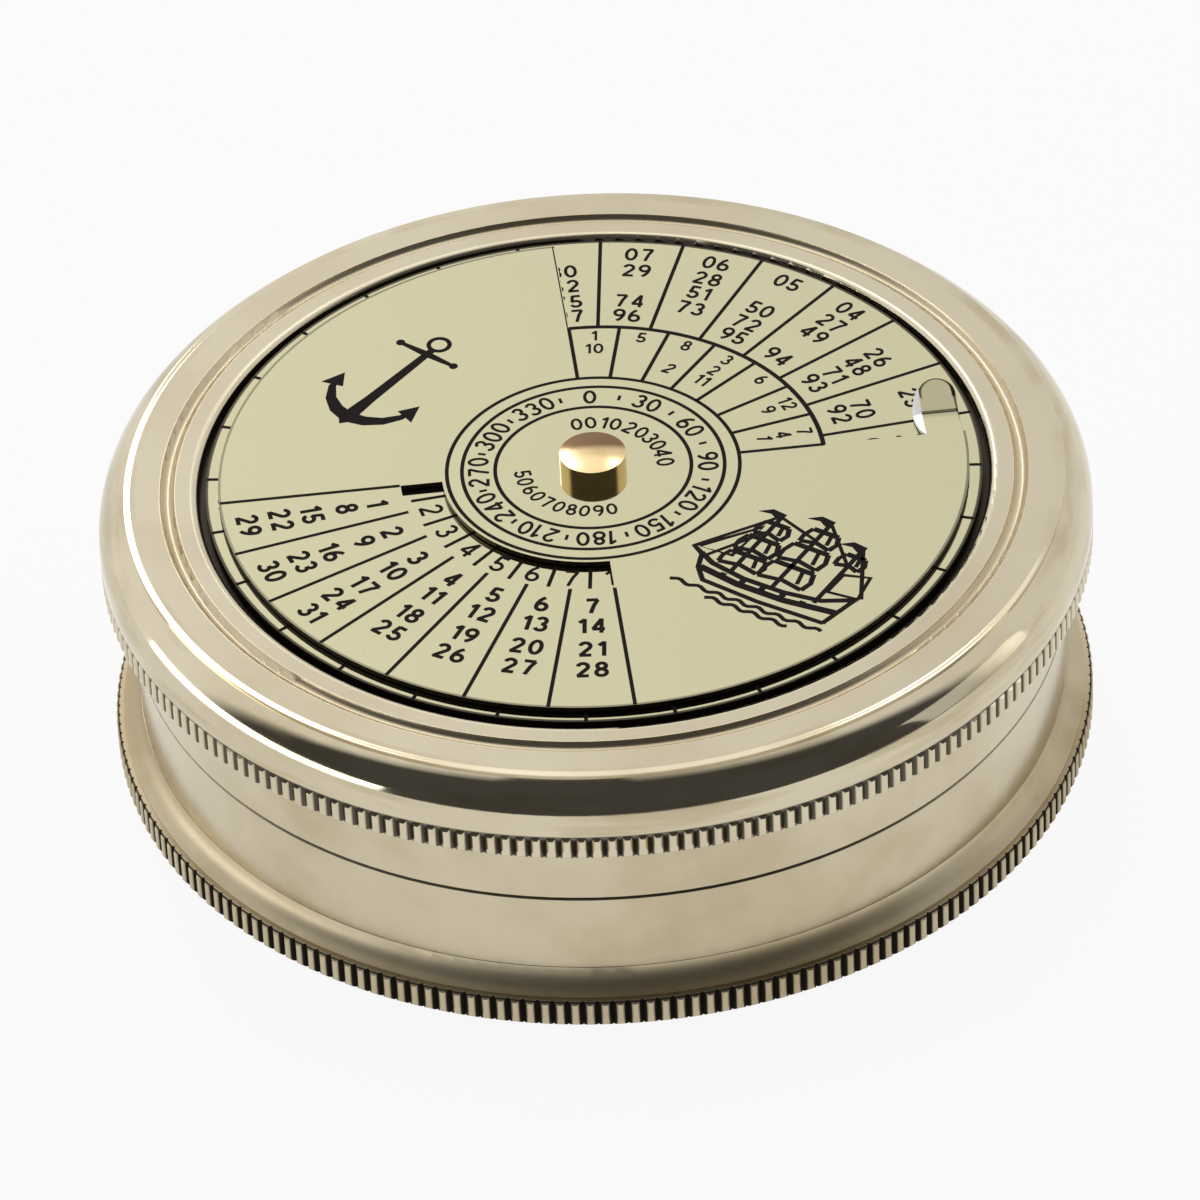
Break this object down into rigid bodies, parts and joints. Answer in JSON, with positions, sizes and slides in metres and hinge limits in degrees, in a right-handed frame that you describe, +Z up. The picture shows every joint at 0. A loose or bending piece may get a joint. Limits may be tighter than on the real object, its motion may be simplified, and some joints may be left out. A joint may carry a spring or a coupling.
{
  "type": "calendar compass",
  "caption": "Round brass desk compass with a knurled foot and a screw lid that carries a turning perpetual calendar disc over a year plate",
  "frame": {"origin": "centre of the foot's resting face", "axes": "+Z up through the centre stud; the dial reads upright when seen from -Y, with +X to the right"},
  "size_m": [0.0762, 0.0762, 0.0247],
  "materials": {
    "case_brass": "polished and satin pale brass with a nickel tone",
    "dial_plate": "fine satin pale brass with black printed figures",
    "card_plate": "satin pale brass with a printed rose",
    "gold_brass": "turned yellow brass",
    "spring_steel": "plain spring steel",
    "blued_steel": "blued steel with a red painted north half",
    "jewel_red": "polished synthetic ruby",
    "gasket_rubber": "matt black rubber",
    "washer_fibre": "thin dark fibre",
    "clear_glass": "clear flat glass"
  },
  "bodies": {
    "base": {"base_shell": "case_brass", "compass_card": "card_plate", "card_screws": "gold_brass", "pivot_post": "gold_brass", "pivot_pin": "spring_steel", "spacer_ring": "case_brass", "glass_gasket": "gasket_rubber", "glass": "clear_glass", "bezel_ring": "case_brass"},
    "needle": {"needle_bar": "blued_steel", "needle_hub": "gold_brass", "jewel_cup": "jewel_red", "needle_weight": "gold_brass"},
    "washers": {"spring_washer": "spring_steel", "back_washer": "gold_brass"},
    "lid": {"lid_shell": "case_brass", "year_plate": "dial_plate", "plate_pins": "gold_brass", "disc_washer": "washer_fibre", "centre_stud": "gold_brass", "stud_nut": "gold_brass"},
    "calendar": {"calendar_disc": "dial_plate"}
  },
  "joints": [
    {"name": "needle_swing", "type": "hinge", "parent": "base", "child": "needle", "pos_m": [0, 0, 0.0087], "axis": [0, 0, 1], "continuous": true},
    {"name": "lid_rise", "type": "slide", "parent": "base", "child": "washers", "axis": [0, 0, 1], "range_m": [0, 0.0481]},
    {"name": "lid_turn", "type": "hinge", "parent": "washers", "child": "lid", "pos_m": [0, 0, 0.0108], "axis": [0, 0, 1], "range_deg": [0, 5760]},
    {"name": "calendar_turn", "type": "hinge", "parent": "lid", "child": "calendar", "pos_m": [0, 0, 0.0227], "axis": [0, 0, 1], "continuous": true}
  ],
  "couplings": [
    {"joint": "lid_rise", "follows": "lid_turn", "m_per_rad": 0.00047746}
  ]
}
